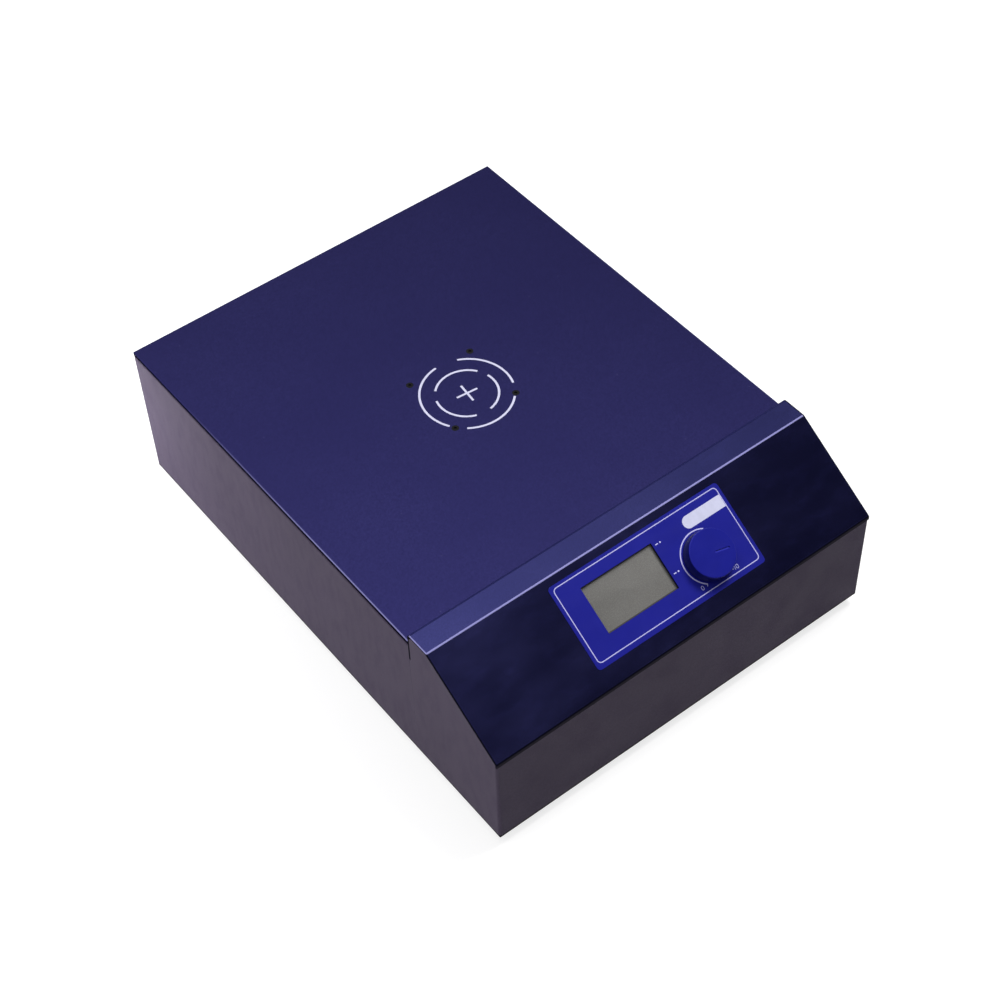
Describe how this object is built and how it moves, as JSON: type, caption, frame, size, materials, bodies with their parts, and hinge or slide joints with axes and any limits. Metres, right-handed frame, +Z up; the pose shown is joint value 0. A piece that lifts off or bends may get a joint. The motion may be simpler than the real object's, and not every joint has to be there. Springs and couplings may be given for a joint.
{
  "type": "laboratory magnetic stirrer",
  "caption": "Low sheet-metal magnetic stirrer with a painted top plate, printed stirring target, sloping panel with LCD and speed knob, and a motor that spins magnets under the plate.",
  "frame": {"origin": "centre of the bounding box's footprint, on the bench under the feet", "axes": "+X to the right as seen from the front, +Y from the front face to the back wall, +Z up"},
  "size_m": [0.3, 0.3982, 0.128],
  "materials": {
    "plate_paint": "satin",
    "panel_paint": "glossy",
    "shell_paint": "fine texture",
    "galvanised": "satin",
    "zinc_steel": "satin",
    "black_steel": "black oxide",
    "label_film": "satin",
    "label_print": "matte",
    "target_print": "matte",
    "tab_white": "satin",
    "window_clear": "clear",
    "lcd_grey": "satin",
    "knob_blue": "satin",
    "black_plastic": "matte",
    "foot_rubber": "matte",
    "gasket_rubber": "matte",
    "brass_bare": "satin",
    "copper_wire": "enamelled",
    "die_cast": "matte",
    "turned_aluminium": "turned",
    "motor_black": "satin",
    "lamination": "matte",
    "bearing_steel": "polished",
    "magnet_nickel": "nickel plated",
    "board_green": "solder mask",
    "board_component": "matte",
    "capacitor_sleeve": "satin",
    "ferrite": "matte",
    "tape_yellow": "satin",
    "lead_brown": "matte",
    "lead_green": "matte",
    "lead_red": "matte",
    "lead_black": "matte",
    "ribbon_grey": "matte"
  },
  "bodies": {
    "chassis": {"rear_shell": "shell_paint", "front_housing": "shell_paint", "base_plate": "galvanised", "top_plate": "plate_paint", "plate_gasket": "gasket_rubber", "plate_studs": "zinc_steel", "plate_nuts": "zinc_steel", "cross_rail": "galvanised", "control_panel": "panel_paint", "panel_label": "label_film", "lcd_window": "window_clear", "lcd_glass": "lcd_grey", "display_board": "board_green", "display_fixings": "zinc_steel", "pot_case": "die_cast", "pot_nut": "zinc_steel", "plate_screws": "black_steel", "motor_pillars": "zinc_steel", "motor_screws": "zinc_steel", "motor_flange": "die_cast", "motor_case": "motor_black", "motor_end_cap": "die_cast", "stator_core": "lamination", "stator_windings": "copper_wire", "outer_races": "bearing_steel", "bearing_balls": "bearing_steel", "mains_inlet": "black_plastic", "inlet_pins": "brass_bare", "inlet_screws": "zinc_steel", "switch_housing": "black_plastic", "switch_tabs": "brass_bare", "earth_stud": "brass_bare", "control_board": "board_green", "board_parts": "board_component", "supply_board": "board_green", "supply_parts": "ferrite", "board_spacers": "brass_bare", "mains_leads": "lead_brown", "earth_lead": "lead_green", "supply_lead": "lead_red", "motor_lead": "lead_black", "display_lead": "ribbon_grey", "foot_front_left": "foot_rubber", "foot_front_right": "foot_rubber", "foot_back_left": "foot_rubber", "foot_back_right": "foot_rubber", "foot_screws": "zinc_steel", "body_screws": "zinc_steel"},
    "drive": {"drive_shaft": "bearing_steel", "rotor_core": "lamination", "rotor_magnets": "magnet_nickel", "inner_races": "bearing_steel", "magnet_holder": "turned_aluminium", "drive_magnets": "magnet_nickel", "hub_screw": "black_steel"},
    "knob": {"speed_knob": "knob_blue", "pot_shaft": "brass_bare"},
    "rocker": {"switch_rocker": "black_plastic"},
    "fuse_tray": {"fuse_drawer": "black_plastic", "fuses": "window_clear"}
  },
  "joints": [
    {"name": "drive_spin", "type": "hinge", "parent": "chassis", "child": "drive", "pos_m": [0, 0.02829, 0.06], "axis": [0, 0, 1], "continuous": true},
    {"name": "knob_turn", "type": "hinge", "parent": "chassis", "child": "knob", "pos_m": [0.0374, -0.16924, 0.10612], "axis": [0, -0.5288, 0.8487], "range_deg": [-38, 242]},
    {"name": "rocker_tilt", "type": "hinge", "parent": "chassis", "child": "rocker", "pos_m": [0.046, 0.19249, 0.054], "axis": [1, 0, 0], "range_deg": [0, 24]},
    {"name": "drawer_slide", "type": "slide", "parent": "chassis", "child": "fuse_tray", "axis": [0, 1, 0], "range_m": [0, 0.014]}
  ]
}
